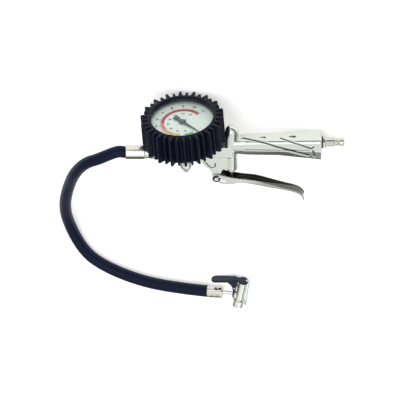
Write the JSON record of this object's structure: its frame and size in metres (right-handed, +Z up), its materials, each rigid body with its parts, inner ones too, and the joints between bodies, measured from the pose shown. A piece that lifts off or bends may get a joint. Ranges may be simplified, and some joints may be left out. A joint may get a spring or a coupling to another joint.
{
  "type": "tyre inflator gun",
  "caption": "Pistol tyre inflator with a die-cast grip and trigger valve, a dial gauge in a ribbed rubber boot, a bleed button, and a short hose with a clip-on valve chuck.",
  "frame": {"origin": "on the table, under the middle of the tool's bounding box without its hose and chuck", "axes": "+Z up from the table, +Y the way the gauge's dial faces, +X back along the grip towards the inlet plug; the tool lies on its side"},
  "size_m": [0.3611, 0.3203, 0.1007],
  "materials": {
    "cast_alloy": "satin, die cast",
    "plug_steel": "polished nickel plate",
    "washer_fibre": "matt fibre",
    "filter_bronze": "sintered, matt",
    "brass_part": "turned, satin",
    "stem_steel": "ground",
    "seal_rubber": "matt",
    "spring_steel": "drawn wire",
    "trigger_chrome": "polished plate",
    "pin_steel": "turned",
    "clip_steel": "black oxide",
    "bonnet_chrome": "bright plate",
    "case_steel": "satin enamel",
    "dial_white": "matt white, printed scale",
    "pointer_paint": "satin",
    "spacer_plastic": "matt",
    "lens_clear": "clear, glossy",
    "boot_rubber": "satin black moulded rubber",
    "ferrule_nickel": "satin nickel plate, crimped",
    "hose_rubber": "satin black",
    "chuck_metal": "satin nickel plate",
    "chuck_lever_plastic": "satin moulded"
  },
  "bodies": {
    "gun": {"body_casting": "cast_alloy", "inlet_plug": "plug_steel", "inlet_washer": "washer_fibre", "inlet_filter": "filter_bronze", "valve_seat": "brass_part", "gland_nut": "brass_part", "stem_seal": "seal_rubber", "valve_spring": "spring_steel", "pivot_pin": "pin_steel", "pivot_clip": "clip_steel", "bleed_bonnet": "bonnet_chrome", "bleed_spring": "spring_steel", "gauge_socket": "brass_part", "gauge_case": "case_steel", "case_screws": "pin_steel", "bourdon_tube": "brass_part", "tube_tip": "brass_part", "movement_frame": "brass_part", "dial_plate": "dial_white", "dial_screws": "pin_steel", "zero_stop": "pin_steel", "spacer_ring": "spacer_plastic", "lens": "lens_clear", "bezel_ring": "case_steel", "rubber_boot": "boot_rubber", "hose_tail": "plug_steel", "front_ferrule": "ferrule_nickel", "hose": "hose_rubber", "far_ferrule": "ferrule_nickel", "chuck_tube": "chuck_metal", "chuck_body": "chuck_metal", "chuck_collar": "chuck_metal", "chuck_seal": "seal_rubber", "depressor": "brass_part", "chuck_pin": "pin_steel", "chuck_spring": "spring_steel", "hairspring": "brass_part"},
    "trigger": {"trigger_lever": "trigger_chrome"},
    "valve": {"valve_stem": "stem_steel", "valve_rubber": "seal_rubber"},
    "bleed": {"bleed_button": "stem_steel", "bleed_rubber": "seal_rubber"},
    "sector": {"sector_gear": "brass_part"},
    "link": {"link_bar": "brass_part"},
    "needle": {"pinion": "stem_steel", "pointer": "pointer_paint"},
    "clip_lever": {"chuck_lever": "chuck_lever_plastic", "chuck_claw": "spring_steel"}
  },
  "joints": [
    {"name": "trigger_hinge", "type": "hinge", "parent": "gun", "child": "trigger", "pos_m": [-0.03477, -0.02569, 0.0424], "axis": [0.229, 0, 0.9734], "range_deg": [0, 10.5], "stiffness_Nm_per_rad": 0.9, "springref_deg": -14.32},
    {"name": "valve_slide", "type": "slide", "parent": "gun", "child": "valve", "axis": [0.0713, 0.9973, -0.0168], "range_m": [0, 0.0034], "deforming": ["valve_spring"]},
    {"name": "bleed_slide", "type": "slide", "parent": "gun", "child": "bleed", "axis": [0, 1, 0], "range_m": [0, 0.002], "stiffness_N_per_m": 1500, "springref_m": -0.002, "deforming": ["bleed_spring"]},
    {"name": "sector_turn", "type": "hinge", "parent": "gun", "child": "sector", "pos_m": [-0.0842, 0.04229, 0.05403], "axis": [0, 1, 0], "range_deg": [0, 38.5], "stiffness_Nm_per_rad": 0.001},
    {"name": "needle_turn", "type": "hinge", "parent": "gun", "child": "needle", "pos_m": [-0.06862, 0.04229, 0.05037], "axis": [0, -1, 0], "range_deg": [0, 270]},
    {"name": "link_turn", "type": "hinge", "parent": "sector", "child": "link", "pos_m": [-0.08994, 0.04589, 0.0523], "axis": [0, 1, 0], "range_deg": [-40, 0]},
    {"name": "clip_hinge", "type": "hinge", "parent": "gun", "child": "clip_lever", "pos_m": [-0.03388, -0.22366, 0.0082], "axis": [0, 0, 1], "range_deg": [0, 6], "stiffness_Nm_per_rad": 0.6, "springref_deg": -11.46}
  ],
  "couplings": [
    {"joint": "valve_slide", "follows": "trigger_hinge", "m_per_rad": 0.0184},
    {"joint": "needle_turn", "follows": "sector_turn", "ratio": 7},
    {"joint": "link_turn", "follows": "sector_turn", "ratio": -0.96087}
  ]
}
